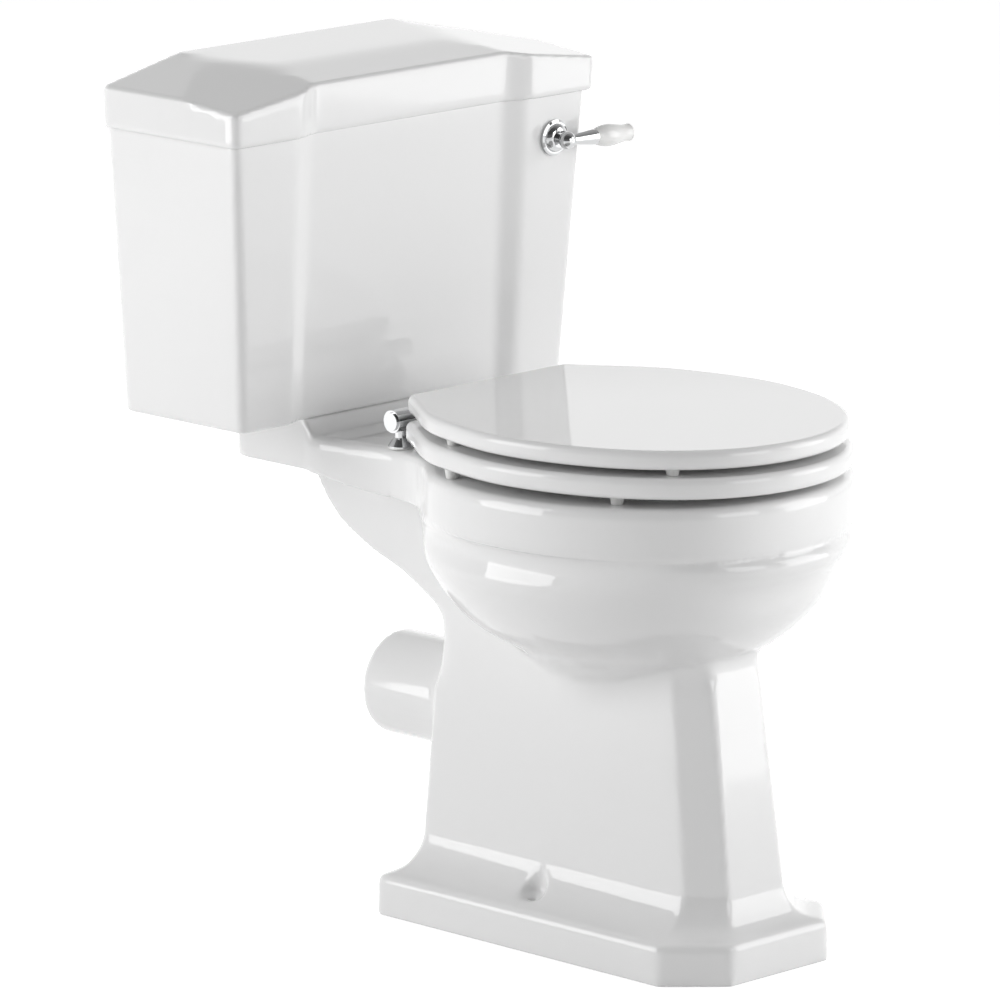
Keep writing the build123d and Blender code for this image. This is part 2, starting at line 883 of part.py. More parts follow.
with BuildPart() as wing_nuts:
    for side in (-1, 1):
        with BuildSketch(Plane.XY.offset(bolt_pocket_z - bolt_washer)):
            with Locations((side * bolt_x, flush_y)):
                Circle(wing_hub_r)
        extrude(amount=-wing_hub)
        with BuildSketch(Plane.XZ.offset(-flush_y)):
            with Locations((side * bolt_x, bolt_pocket_z - bolt_washer - wing_hub)):
                Trapezoid(wing_span, wing_height, wing_angle, align=(Align.CENTER, Align.CENTER))
        extrude(amount=wing_thick / 2, both=True)
        with BuildSketch(Plane.XY.offset(bolt_pocket_z)):
            with Locations((side * bolt_x, flush_y)):
                Rectangle(2 * wing_span, 2 * wing_span)
        extrude(amount=-bolt_washer, mode=Mode.SUBTRACT)
        with BuildSketch(Plane.XY.offset(bolt_pocket_z)):
            with Locations((side * bolt_x, flush_y)):
                Circle(bolt_r + slip)
        extrude(amount=-bolt_washer - wing_hub - wing_height, mode=Mode.SUBTRACT)
finish(wing_nuts, "wing_nuts")

# Siphon: the lever lifts a plate in its chamber, which throws water over the bend
siphon_points = (
    (0, tail_end_z),
    (0, siphon_top_z),
    (siphon_pitch, siphon_top_z),
    (siphon_pitch, chamber_top_z - siphon_wall),
)
siphon_bend = siphon_pitch / 2 - clear
siphon_plane = Plane.XZ.offset(-flush_y)
chamber_front_y = rod_y - siphon_wall - 2 * rod_r
chamber_y = (chamber_front_y + chamber_back_y) / 2
chamber_depth = chamber_back_y - chamber_front_y

with BuildPart() as siphon_body:
    add(pipe(siphon_plane, siphon_points, (siphon_bend, siphon_bend), tail_r))
    with BuildSketch(Plane.XY.offset(floor_z + washer_thick)):
        with Locations((0, flush_y)):
            Circle(siphon_flange_r)
    extrude(amount=siphon_flange)
    with BuildSketch(Plane.XY.offset(chamber_base_z)):
        with Locations((chamber_x, chamber_y)):
            RectangleRounded(chamber_width, chamber_depth, chamber_round)
    extrude(amount=chamber_top_z - chamber_base_z)
    with BuildSketch(Plane.XY.offset(chamber_base_z)):
        with Locations((chamber_x, chamber_y)):
            RectangleRounded(
                chamber_width - 2 * siphon_wall,
                chamber_depth - 2 * siphon_wall,
                chamber_round - siphon_wall,
            )
    extrude(amount=chamber_top_z - siphon_wall - chamber_base_z, mode=Mode.SUBTRACT)
    add(
        pipe(siphon_plane, siphon_points, (siphon_bend, siphon_bend), tail_r - siphon_wall),
        mode=Mode.SUBTRACT,
    )
    with BuildSketch(Plane.XY.offset(chamber_top_z - siphon_wall)):
        with Locations((rod_x, rod_y)):
            Circle(rod_r + slip + guide_wall)
    extrude(amount=guide_top_z - chamber_top_z + siphon_wall)
    with BuildSketch(Plane.XY.offset(chamber_base_z)):
        with Locations((rod_x, rod_y)):
            Circle(rod_r + slip)
    extrude(amount=guide_top_z - chamber_base_z, mode=Mode.SUBTRACT)
finish(siphon_body, "siphon_body")

with BuildPart() as siphon_diaphragm:
    with BuildSketch(Plane.XY.offset(plate_z)):
        with Locations((chamber_x, chamber_y)):
            RectangleRounded(
                chamber_width - 2 * siphon_wall - 2 * plate_play,
                chamber_depth - 2 * siphon_wall - 2 * plate_play,
                chamber_round - siphon_wall - plate_play,
            )
    extrude(amount=plate_thick)
finish(siphon_diaphragm, "siphon_diaphragm")

with BuildPart() as lift_rod:
    with BuildSketch(Plane.XY.offset(plate_z + plate_thick)):
        with Locations((rod_x, rod_y)):
            Circle(rod_r)
    extrude(amount=link_low_z - plate_z - plate_thick)
    with Locations((rod_x, rod_y, link_low_z)):
        Box(lug_width, lug_width, lug_height)
        Cylinder(link_wire_r + slip, 2 * lug_width, rotation=(90, 0, 0), mode=Mode.SUBTRACT)
finish(lift_rod, "lift_rod")

with BuildPart() as lift_link:
    with BuildLine(Plane.YZ.offset(rod_x)) as loop:
        FilletPolyline(
            (rod_y + link_half, link_low_z),
            (rod_y + link_half, link_top_z),
            (rod_y - link_half, link_top_z),
            (rod_y - link_half, link_low_z),
            radius=link_bend,
            close=True,
        )
    with BuildSketch(Plane(origin=loop.line @ 0, z_dir=loop.line % 0)):
        Circle(link_wire_r)
    sweep()
finish(lift_link, "lift_link")

# Lever: profiles are drawn as radius against distance out of the cistern's face
turned = Plane(origin=lever_origin, x_dir=(1, 0, 0), z_dir=Vector(1, 0, 0).cross(outward))
lever_axis = Axis(lever_origin, outward)
along = Plane(origin=lever_centre, x_dir=lever_way, z_dir=outward)
along_axis = Axis(lever_centre, lever_way)
core_end = cone_length + handle_length + cap_length / 2

with BuildPart() as lever_bush:
    with BuildSketch(turned):
        with BuildLine():
            Polyline(
                (spindle_r + slip, -bush_sleeve),
                (bush_sleeve_r, -bush_sleeve),
                (bush_sleeve_r, 0),
                (bush_flange_r, 0),
                (bush_flange_r, bush_edge),
                (bush_flange_r - bush_bevel, bush_flange),
                (bush_dome_r, bush_flange),
            )
            ThreePointArc(
                (bush_dome_r, bush_flange),
                ((bush_dome_r + bush_sleeve_r) / 2 + bush_bulge, (bush_flange + bush_dome) / 2 + bush_bulge),
                (bush_sleeve_r, bush_dome),
            )
            Polyline(
                (bush_sleeve_r, bush_dome),
                (spindle_r + slip, bush_dome),
                (spindle_r + slip, -bush_sleeve),
            )
        make_face()
    revolve(axis=lever_axis)
finish(lever_bush, "lever_bush")

with BuildPart() as lever_bush_nut:
    with BuildSketch(Plane(origin=lever_origin - outward * (cistern_wall + clear), z_dir=-outward)):
        RegularPolygon(bush_nut_r, 6)
        Circle(bush_sleeve_r + slip, mode=Mode.SUBTRACT)
    extrude(amount=bush_nut)
finish(lever_bush_nut, "lever_bush_nut")

with BuildPart() as lever_spindle:
    with BuildSketch(turned):
        with Locations((0, lever_out)):
            Circle(ball_r)
            Rectangle(
                2 * spindle_r, lever_out + arm_in + arm_boss / 2, align=(Align.CENTER, Align.MAX)
            )
        split(bisect_by=Plane.YZ, keep=Keep.TOP)
    revolve(axis=lever_axis)
    with BuildSketch(along):
        Polygon(
            (0, 0),
            (0, cone_start_r),
            (ball_r, cone_start_r),
            (cone_length - cone_band, cone_end_r),
            (cone_length, cone_end_r),
            (cone_length, core_r),
            (core_end, core_r),
            (core_end, 0),
            align=None,
        )
    revolve(axis=along_axis)
finish(lever_spindle, "lever_spindle")

with BuildPart() as lever_handle:
    with BuildSketch(along):
        with BuildLine():
            swell = Spline(
                (cone_length, cone_end_r - clear),
                *[(cone_length + share * handle_length, handle_r - inside) for share, inside in handle_swell],
                (cone_length + handle_waist * handle_length, handle_end_r),
                (cone_length + handle_length, handle_end_r + clear),
            )
            Polyline(
                swell @ 1,
                (cone_length + handle_length, core_r + slip),
                (cone_length, core_r + slip),
                swell @ 0,
            )
        make_face()
    revolve(axis=along_axis)
finish(lever_handle, "lever_handle")

with BuildPart() as lever_end_cap:
    with BuildSketch(along):
        with BuildLine():
            dome = Spline(
                (cone_length + handle_length, handle_end_r - cap_edge),
                (cone_length + handle_length + 0.5 * cap_length, 0.75 * handle_end_r),
                (cone_length + handle_length + cap_length, 0),
                tangents=((1, 0), (0, -1)),
            )
            Polyline(
                dome @ 1,
                (core_end + slip, 0),
                (core_end + slip, core_r + slip),
                (cone_length + handle_length, core_r + slip),
                dome @ 0,
            )
        make_face()
    revolve(axis=along_axis)
finish(lever_end_cap, "lever_end_cap")

arm_plane = Plane(origin=arm_centre, x_dir=(1, 0, 0), z_dir=outward)
with BuildPart() as inner_arm:
    with BuildSketch(arm_plane):
        Rectangle(
            (rod_reach + arm_past) / cos(radians(arm_swing)),
            arm_height,
            rotation=arm_swing,
            align=(Align.MAX, Align.CENTER),
        )
    extrude(amount=arm_thick / 2, both=True)
    with BuildSketch(arm_plane):
        Circle(arm_boss_r)
    extrude(amount=arm_boss / 2, both=True)
    with BuildSketch(arm_plane):
        Circle(spindle_r + slip)
    extrude(amount=arm_boss, both=True, mode=Mode.SUBTRACT)
    with BuildSketch(Plane(origin=arm_centre, z_dir=arm_plane.y_dir)):
        Circle(arm_screw_r + slip)
    extrude(amount=2 * arm_boss_r, mode=Mode.SUBTRACT)
finish(inner_arm, "inner_arm")

with BuildPart() as inner_arm_screw:
    with BuildSketch(Plane(origin=arm_centre, z_dir=arm_plane.y_dir).offset(spindle_r + slip)):
        Circle(arm_screw_r)
    extrude(amount=arm_boss_r - spindle_r)
finish(inner_arm_screw, "inner_arm_screw")

# Fill valve and float
with BuildPart() as fill_valve:
    with BuildSketch(Plane.XY.offset(valve_tail_z)):
        with Locations((valve_x, valve_y)):
            Circle(valve_tail_r)
    extrude(amount=valve_shank_z - valve_tail_z)
    with BuildSketch(Plane.XY.offset(valve_shank_z)):
        with Locations((valve_x, valve_y)):
            Circle(valve_shank_r)
    extrude(amount=floor_z + washer_thick - valve_shank_z)
    with BuildSketch(Plane.XY.offset(floor_z + washer_thick)):
        with Locations((valve_x, valve_y)):
            Circle(valve_flange_r)
    extrude(amount=valve_flange)
    with BuildSketch(Plane.XY.offset(floor_z + washer_thick + valve_flange)):
        with Locations((valve_x, valve_y)):
            Circle(valve_pipe_r)
    extrude(amount=valve_head_z - floor_z - washer_thick - valve_flange)
    with BuildSketch(Plane.XY.offset(valve_head_z)):
        with Locations((valve_x, valve_y)):
            RectangleRounded(valve_head, valve_head, valve_head_round)
    extrude(amount=valve_head_height)
    with BuildSketch(Plane.XY.offset(valve_tail_z)):
        with Locations((valve_x, valve_y)):
            Circle(valve_tail_r - siphon_wall)
    extrude(amount=valve_head_z - valve_tail_z - lug_r, mode=Mode.SUBTRACT)
    with Locations((pivot.X, pivot.Y, pivot.Z)):
        Box(2 * (lug_r + loose), lug_thick + 2 * slot_play, slot_height, mode=Mode.SUBTRACT)
        Cylinder(pivot_r + slip, 2 * valve_head, rotation=(90, 0, 0), mode=Mode.SUBTRACT)
finish(fill_valve, "fill_valve")

with BuildPart() as fill_valve_seal:
    add(ring_solid(floor_z, washer_thick, valve_flange_r, valve_shank_r + clear, valve_x, valve_y))
finish(fill_valve_seal, "fill_valve_seal")

with BuildPart() as fill_valve_backnut:
    add(hexagon_nut(platform_z - valve_nut, valve_nut, valve_nut_r, valve_shank_r + slip, valve_x, valve_y))
finish(fill_valve_backnut, "fill_valve_backnut")

with BuildPart() as float_pin:
    with Locations((pivot.X, pivot.Y, pivot.Z)):
        Cylinder(pivot_r, valve_head, rotation=(90, 0, 0))
finish(float_pin, "float_pin")

with BuildPart() as float_arm:
    with BuildSketch(Plane(origin=pivot, x_dir=float_way, z_dir=(0, 1, 0))):
        Circle(lug_r)
        Rectangle(2 * lug_r + pivot_in, 2 * float_rod_r, align=(Align.MIN, Align.CENTER))
        Circle(pivot_r + slip, mode=Mode.SUBTRACT)
    extrude(amount=lug_thick / 2, both=True)
    with BuildSketch(Plane(origin=pivot, z_dir=float_way).offset(pivot_in + lug_r)):
        Circle(float_rod_r)
    extrude(amount=float_reach - float_r + float_socket - pivot_in - lug_r)
finish(float_arm, "float_arm")

with BuildPart() as float_ball:
    with BuildSketch(Plane(origin=float_centre, x_dir=float_way, z_dir=(0, 1, 0))):
        Circle(float_r)
        Circle(float_r - float_wall, mode=Mode.SUBTRACT)
        with Locations((float_socket / 2 - float_r + float_wall / 2, 0)):
            Rectangle(float_socket - float_wall, 2 * float_boss_r)
        Rectangle(3 * float_r, 2 * (float_rod_r + slip), align=(Align.MAX, Align.CENTER), mode=Mode.SUBTRACT)
        split(bisect_by=Plane.XZ, keep=Keep.TOP)
    revolve(axis=Axis(float_centre, float_way))
finish(float_ball, "float_ball")


def seat_face(z, grow=0.0):
    """Outline shared by the seat's ring and lid: round at the front, straight at the back."""
    half, front = seat_half + grow, seat_front + grow
    with BuildSketch(Plane.XY.offset(z)) as face:
        with BuildLine():
            flank = [(half - inside, seat_mid_y + behind) for inside, behind in seat_flank]
            flank.append((seat_back_half + grow, seat_back_y))
            side = Spline(
                *[(-x, y) for x, y in reversed(flank)],
                *oval_points(half, front, 2 * seat_mid_y + front, seat_power, -180, 0, 12),
                (half, seat_mid_y),
                *flank,
            )
            Line(side @ 0, side @ 1)
        make_face()
        fillet(face.vertices(), seat_corner)
    return face.sketch


ring_arm_x = barrel_end_x - barrel_length - knuckle_gap - knuckle_width / 2
lid_arm_x = ring_arm_x - knuckle_gap - knuckle_width
screw_spots = (seat_back_y - seat_screw_first, seat_back_y - seat_screw_first - seat_screw_pitch)


def seat_screw_holes(arm_x, z):
    """Cutters for the four blind screw holes in the underside of the ring or lid."""
    with BuildPart() as holes:
        for side in (-1, 1):
            for y in screw_spots:
                with Locations((side * arm_x, y, z)):
                    Cylinder(seat_screw_r + slip, 2 * (seat_screw_length - arm_plate + clear))
    return holes.part


def seat_screws(arm_x, z):
    """Four screws, heads below a plate whose underside is at height z."""
    with BuildPart() as screws:
        for side in (-1, 1):
            for y in screw_spots:
                with Locations((side * arm_x, y, z)):
                    Cylinder(seat_screw_r, seat_screw_length, align=(Align.CENTER, Align.CENTER, Align.MIN))
                    Cylinder(
                        seat_screw_head_r, seat_screw_r, align=(Align.CENTER, Align.CENTER, Align.MAX)
                    )
    return screws.part


def hinge_arms(arm_x, profile, plate_z):
    """A left and a right arm: side profile in YZ, and a knuckle round the hinge pin."""
    with BuildPart() as arms:
        for side in (-1, 1):
            middle = Plane.YZ.offset(side * arm_x)
            with BuildSketch(middle):
                Polygon(*profile, align=None)
                with Locations((hinge_y, hinge_z)):
                    Circle(knuckle_r)
                with Locations((hinge_y, hinge_z)):
                    Circle(hinge_pin_r + slip, mode=Mode.SUBTRACT)
            extrude(amount=knuckle_width / 2, both=True)
            for y in screw_spots:
                with Locations((side * arm_x, y, plate_z)):
                    Cylinder(seat_screw_r + slip, 4 * arm_plate, mode=Mode.SUBTRACT)
    return arms.part


def buffers(spots, top_z, tip_z):
    """Tapered rubber buffers on both sides, hanging from top_z down to tip_z."""
    with BuildPart() as group:
        for side in (-1, 1):
            for x, y in spots:
                with Locations((side * x, y, tip_z)):
                    Cone(
                        buffer_tip_r,
                        buffer_r,
                        top_z - tip_z,
                        align=(Align.CENTER, Align.CENTER, Align.MIN),
                    )
    return group.part


with BuildPart() as seat_ring:
    extrude(seat_face(ring_under_z, ring_grow), amount=ring_thick)
    fillet(seat_ring.edges().group_by(Axis.Z)[-1] + seat_ring.edges().group_by(Axis.Z)[0], seat_round)
    extrude(oval_face(ring_under_z, hole_half, hole_front, hole_back), amount=ring_thick, mode=Mode.SUBTRACT)
    top_edges = seat_ring.edges().filter_by(GeomType.BSPLINE).group_by(Axis.Z)[-1]
    fillet(top_edges.sort_by(SortBy.LENGTH)[0], hole_round)
    add(seat_screw_holes(ring_arm_x, ring_under_z), mode=Mode.SUBTRACT)
finish(seat_ring, "seat_ring")

with BuildPart() as seat_lid:
    extrude(seat_face(seat_lid_z), amount=seat_lid_thick)
    fillet(seat_lid.edges().group_by(Axis.Z)[-1] + seat_lid.edges().group_by(Axis.Z)[0], seat_round)
    add(seat_screw_holes(lid_arm_x, seat_lid_z), mode=Mode.SUBTRACT)
finish(seat_lid, "seat_lid")

with BuildPart() as ring_buffers:
    add(buffers(ring_buffer_spots, ring_under_z, rim_z + clear))
finish(ring_buffers, "ring_buffers")

with BuildPart() as lid_buffers:
    add(buffers(lid_buffer_spots, seat_lid_z, seat_lid_z - seat_gap + clear))
finish(lid_buffers, "lid_buffers")

with BuildPart() as ring_hinge_arms:
    low = ring_under_z - arm_plate
    profile = (
        (seat_back_y - plate_length, low),
        (hinge_y - pillar_r, low),
        (hinge_y + knuckle_web, hinge_z - arm_dip),
        (hinge_y, hinge_z),
        (hinge_y - knuckle_web, hinge_z - arm_dip),
        (seat_back_y + loose, ring_under_z),
        (seat_back_y - plate_length, ring_under_z),
    )
    add(hinge_arms(ring_arm_x, profile, low))
finish(ring_hinge_arms, "ring_hinge_arms")

with BuildPart() as lid_hinge_arms:
    profile = (
        (seat_back_y - plate_length, seat_lid_z - arm_plate),
        (seat_back_y + loose, seat_lid_z - arm_plate),
        (hinge_y - knuckle_web, hinge_z + lid_arm_rise),
        (hinge_y, hinge_z),
        (hinge_y + knuckle_r / 2, hinge_z + lid_arm_top),
        (hinge_y - arm_dip, seat_lid_z),
        (seat_back_y - plate_length, seat_lid_z),
    )
    add(hinge_arms(lid_arm_x, profile, seat_lid_z - arm_plate))
finish(lid_hinge_arms, "lid_hinge_arms")

with BuildPart() as ring_hinge_screws:
    add(seat_screws(ring_arm_x, ring_under_z - arm_plate))
finish(ring_hinge_screws, "ring_hinge_screws")

with BuildPart() as lid_hinge_screws:
    add(seat_screws(lid_arm_x, seat_lid_z - arm_plate))
finish(lid_hinge_screws, "lid_hinge_screws")

pillar_z = rim_z + pad_thick
with BuildPart() as hinge_pillars:
    for side in (-1, 1):
        with BuildSketch(Plane.XZ.offset(-hinge_y)):
            with BuildLine():
                Polyline(
                    (side * hinge_mid, deck_pocket_z - stud_end),
                    (side * (hinge_mid + stud_r), deck_pocket_z - stud_end),
                    (side * (hinge_mid + stud_r), pillar_z),
                    (side * (hinge_mid + pillar_base_r), pillar_z),
                    (side * (hinge_mid + pillar_base_r), pillar_z + pillar_edge),
                    (side * (hinge_mid + pillar_r), pillar_z + pillar_flare),
                    (side * (hinge_mid + pillar_r), hinge_z),
                    (side * hinge_mid, hinge_z),
                    (side * hinge_mid, deck_pocket_z - stud_end),
                )
            make_face()
        revolve(axis=Axis((side * hinge_mid, hinge_y, 0), (0, 0, 1)))
        with BuildSketch(Plane.YZ.offset(side * hinge_mid)):
            with Locations((hinge_y, hinge_z)):
                Circle(barrel_r)
        extrude(amount=barrel_length / 2, both=True)
        with BuildSketch(Plane.YZ.offset(side * hinge_mid)):
            with Locations((hinge_y, hinge_z)):
                Circle(hinge_pin_r + slip)
        extrude(amount=barrel_length, both=True, mode=Mode.SUBTRACT)
finish(hinge_pillars, "hinge_pillars")

with BuildPart() as hinge_caps:
    for side in (-1, 1):
        with BuildSketch(Plane.YZ.offset(side * barrel_end_x)):
            with Locations((hinge_y, hinge_z)):
                Circle(barrel_cap_r)
        extrude(amount=side * barrel_cap)
finish(hinge_caps, "hinge_caps")

pin_inner_x = lid_arm_x - knuckle_width / 2 - knuckle_gap
with BuildPart() as hinge_pins:
    for side in (-1, 1):
        with BuildSketch(Plane.YZ.offset(side * pin_inner_x)):
            with Locations((hinge_y, hinge_z)):
                Circle(hinge_pin_r)
        extrude(amount=side * (barrel_end_x - clear - pin_inner_x))
        with BuildSketch(Plane.YZ.offset(side * pin_inner_x)):
            with Locations((hinge_y, hinge_z)):
                Circle(pillar_r)
        extrude(amount=-side * barrel_cap)
finish(hinge_pins, "hinge_pins")

with BuildPart() as hinge_pads:
    for side in (-1, 1):
        add(ring_solid(rim_z, pad_thick, pillar_base_r, stud_r + clear, side * hinge_mid, hinge_y))
finish(hinge_pads, "hinge_pads")

washer_z = deck_pocket_z - stud_washer
with BuildPart() as hinge_washers:
    for side in (-1, 1):
        add(ring_solid(washer_z, stud_washer, stud_washer_r, stud_r + clear, side * hinge_mid, hinge_y))
finish(hinge_washers, "hinge_washers")

with BuildPart() as hinge_nuts:
    for side in (-1, 1):
        add(hexagon_nut(washer_z - stud_nut, stud_nut, stud_nut_r, stud_r + slip, side * hinge_mid, hinge_y))
finish(hinge_nuts, "hinge_nuts")
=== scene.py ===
import json
import math

import bmesh
import bpy
from mathutils import Matrix, Vector


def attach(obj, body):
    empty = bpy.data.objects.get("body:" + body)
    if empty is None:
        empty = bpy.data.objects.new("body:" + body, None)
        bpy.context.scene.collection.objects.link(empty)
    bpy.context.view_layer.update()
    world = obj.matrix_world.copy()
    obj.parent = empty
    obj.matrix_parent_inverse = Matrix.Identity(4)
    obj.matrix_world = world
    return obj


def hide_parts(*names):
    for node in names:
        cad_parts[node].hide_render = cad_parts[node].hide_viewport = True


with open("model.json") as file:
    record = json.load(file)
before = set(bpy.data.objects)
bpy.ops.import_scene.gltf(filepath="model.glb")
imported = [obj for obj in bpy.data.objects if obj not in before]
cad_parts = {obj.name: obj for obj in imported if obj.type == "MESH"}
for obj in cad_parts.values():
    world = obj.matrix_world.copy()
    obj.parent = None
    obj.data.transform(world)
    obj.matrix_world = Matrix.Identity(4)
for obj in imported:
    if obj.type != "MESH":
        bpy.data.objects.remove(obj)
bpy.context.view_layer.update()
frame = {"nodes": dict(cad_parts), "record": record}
nodes = frame["nodes"]
scene = bpy.context.scene

# Camera, in metres and degrees
TARGET = Vector((-0.0012, 0.1213, 0.3928))
AZIMUTH = math.radians(-44.83)
ELEVATION = math.radians(12.32)
ROLL = math.radians(-0.22)
DISTANCE = 8.053
LENS_MM = 307.5
SENSOR_MM = 36.0
VIEW_DEPTH = 100.0

# Soft boxes out of view, in degrees, metres and watts:
# azimuth, distance, height of the middle, width, height, power
SOFT_BOXES = {
    "left_box": (-119, 3.0, 1.4, 1.75, 2.8, 64),
    "right_box": (47, 3.2, 1.4, 1.6, 2.8, 46),
    "front_box": (5, 4.0, 1.6, 2.0, 2.4, 46),
}

# The surround is bright low down on the far side, dim overhead and dimmer on the near side
FAR_SIDE = (0.70, 0.70, 0.0)
NEAR_TO_FAR = ((0.0, 0.12), (0.3, 0.2), (0.5, 0.55), (0.8, 1.0))
LOW_TO_HIGH = ((0.5, 1.0), (0.62, 1.0), (0.75, 0.4), (1.0, 0.4))
SURROUND_POWER = 1.38

# Floor, just under the plinth so that the two faces don't coincide
FLOOR_SIZE = 200.0
FLOOR_DROP = 0.0005
FLOOR_COLOUR = (0.85, 0.85, 0.85, 1)
FLOOR_ROUGH = 0.9
FLOOR_GLOW = 0.64
WHITE = (1, 1, 1, 1)

# Finishes: the spread of the noise that drives them, its detail and the depth of the relief
NOISE_LOW = 0.3
NOISE_HIGH = 0.7
COLOUR_DETAIL = 3
ROUGH_DETAIL = 4
RELIEF_DETAIL = 2
ROUGH_GRAIN = 1.7  # grain of the roughness for a grain of 1 in the colour
ROUGH_DRIFT = 0.2
RELIEF_DEPTH = 0.001

# Sockets of a colour mix, by number, as other kinds of mix share their names
MIX_SHARE, MIX_FIRST, MIX_SECOND, MIX_RESULT = 0, 6, 7, 2

# Glazed copies of the china: mesh size and rounds of smoothing all over
VOXEL = 0.0028
SMOOTH_SHARE = 0.5
PAN_ROUNDS = 4
CISTERN_ROUNDS = 3

# Where glaze fills more than elsewhere: boxes with low, high and fading edge along |x|, y and z,
# then the rounds of smoothing there
UNDER_BOWL = {"x": (0.0, 0.105, 0.02), "y": (-0.125, 0.14, 0.03), "z": (0.232, 0.306, 0.016)}
OVER_FRONT = {"y": (-0.25, -0.125, 0.03), "z": (0.276, 0.312, 0.014)}
BESIDE_NECK = {"x": (0.045, 0.1, 0.015), "y": (0.085, 0.2, 0.03), "z": (0.285, 0.398, 0.012)}
PLINTH_EDGE = {"z": (0.012, 0.044, 0.006)}
LID_CREASE = {"x": (0.0, 0.13, 0.02), "y": (0.29, 0.325, 0.02), "z": (0.796, 0.81, 0.003)}
LID_SIDES = {"x": (0.122, 0.154, 0.02), "y": (0.305, 0.385, 0.015), "z": (0.796, 0.81, 0.003)}
PAN_BLENDS = (([UNDER_BOWL], 220), ([OVER_FRONT], 25), ([BESIDE_NECK], 60), ([PLINTH_EDGE], 26))
LID_BLENDS = (([LID_CREASE, LID_SIDES], 150),)


def link(tree, source, out, target, into):
    tree.links.new(source.outputs[out], target.inputs[into])


def noise(tree, scale, detail):
    """Noise that stays on the piece: it is read in object coordinates."""
    place = tree.nodes.new("ShaderNodeTexCoord")
    texture = tree.nodes.new("ShaderNodeTexNoise")
    texture.inputs["Scale"].default_value = scale
    texture.inputs["Detail"].default_value = detail
    link(tree, place, "Object", texture, "Vector")
    return texture


def spread(tree, texture, low, high):
    """Maps noise to the range from low to high."""
    ramp = tree.nodes.new("ShaderNodeMapRange")
    ramp.inputs["From Min"].default_value = NOISE_LOW
    ramp.inputs["From Max"].default_value = NOISE_HIGH
    ramp.inputs["To Min"].default_value = low
    ramp.inputs["To Max"].default_value = high
    link(tree, texture, "Fac", ramp, "Value")
    return ramp


def surface(name, colour, rough, metallic=0.0, shift=0.02, grain=40.0, bump=0.0, bump_grain=60.0):
    """A finish whose colour and roughness drift a little, with a fine relief where bump is set."""
    material = bpy.data.materials.new(name)
    material.use_nodes = True
    tree = material.node_tree
    shader = tree.nodes["Principled BSDF"]
    shader.inputs["Metallic"].default_value = metallic
    mix = tree.nodes.new("ShaderNodeMix")
    mix.data_type = "RGBA"
    mix.inputs[MIX_FIRST].default_value = (*[c * (1 - shift) for c in colour], 1)
    mix.inputs[MIX_SECOND].default_value = (*[min(1, c * (1 + shift)) for c in colour], 1)
    link(tree, noise(tree, grain, COLOUR_DETAIL), "Fac", mix, MIX_SHARE)
    link(tree, mix, MIX_RESULT, shader, "Base Color")
    patches = noise(tree, grain * ROUGH_GRAIN, ROUGH_DETAIL)
    polish = spread(tree, patches, rough * (1 - ROUGH_DRIFT), rough * (1 + ROUGH_DRIFT))
    link(tree, polish, "Result", shader, "Roughness")
    if bump:
        relief = tree.nodes.new("ShaderNodeBump")
        relief.inputs["Strength"].default_value = bump
        relief.inputs["Distance"].default_value = RELIEF_DEPTH
        link(tree, noise(tree, bump_grain, RELIEF_DETAIL), "Fac", relief, "Height")
        link(tree, relief, "Normal", shader, "Normal")
    return material


# Finish of each material slot
GLAZE = (0.80, 0.80, 0.80)
HANDLE_GLAZE = (0.84, 0.84, 0.83)
CHROME = (0.55, 0.555, 0.56)
BRASS = (0.70, 0.52, 0.24)
STEEL = (0.58, 0.59, 0.60)
BLACK_RUBBER = (0.03, 0.03, 0.03)
WHITE_RUBBER = (0.74, 0.74, 0.73)
WHITE_PLASTIC = (0.74, 0.74, 0.72)
ORANGE_PLASTIC = (0.62, 0.13, 0.04)
finishes = {
    "china": surface("china_glaze", GLAZE, 0.045, shift=0.006, grain=9, bump=0.02, bump_grain=35),
    "handle_china": surface("handle_glaze", HANDLE_GLAZE, 0.05, shift=0.006, grain=60),
    "seat": surface("seat_gloss", GLAZE, 0.06, shift=0.006, grain=12, bump=0.015, bump_grain=50),
    "chrome": surface("chrome_plate", CHROME, 0.06, metallic=1.0, shift=0.02, grain=90),
    "brass": surface("turned_brass", BRASS, 0.28, metallic=1.0, shift=0.08, grain=120, bump=0.1),
    "steel": surface("plated_steel", STEEL, 0.32, metallic=1.0, shift=0.06, grain=150, bump=0.1),
    "rubber": surface("black_rubber", BLACK_RUBBER, 0.65, shift=0.15, grain=200, bump=0.2, bump_grain=400),
    "buffer_rubber": surface("white_rubber", WHITE_RUBBER, 0.45, shift=0.02, grain=120, bump=0.1),
    "white_plastic": surface("white_plastic", WHITE_PLASTIC, 0.38, shift=0.03, grain=60, bump=0.08),
    "float_plastic": surface("orange_plastic", ORANGE_PLASTIC, 0.4, shift=0.05, grain=60, bump=0.08),
}
node_slots = {entry["node"]: entry["material_slot"] for entry in frame["record"]["subparts"]}
for name, obj in nodes.items():
    obj.data.materials.clear()
    obj.data.materials.append(finishes[node_slots[name]])


def applied(obj):
    """Turns the object's modifiers into its mesh."""
    graph = bpy.context.evaluated_depsgraph_get()
    mesh = bpy.data.meshes.new_from_object(obj.evaluated_get(graph))
    obj.modifiers.clear()
    old, obj.data = obj.data, mesh
    bpy.data.meshes.remove(old)


def fade(value, low, high, edge):
    """1 between low and high, falling to 0 over edge outside them."""
    return max(0.0, min(1.0, (value - low) / edge + 1, (high - value) / edge + 1))


def within(point, boxes):
    """How far a point lies in any of the boxes, from 0 to 1. Both sides of the toilet are alike."""
    places = {"x": abs(point.x), "y": point.y, "z": point.z}
    return max(math.prod(fade(places[axis], *span) for axis, span in box.items()) for box in boxes)


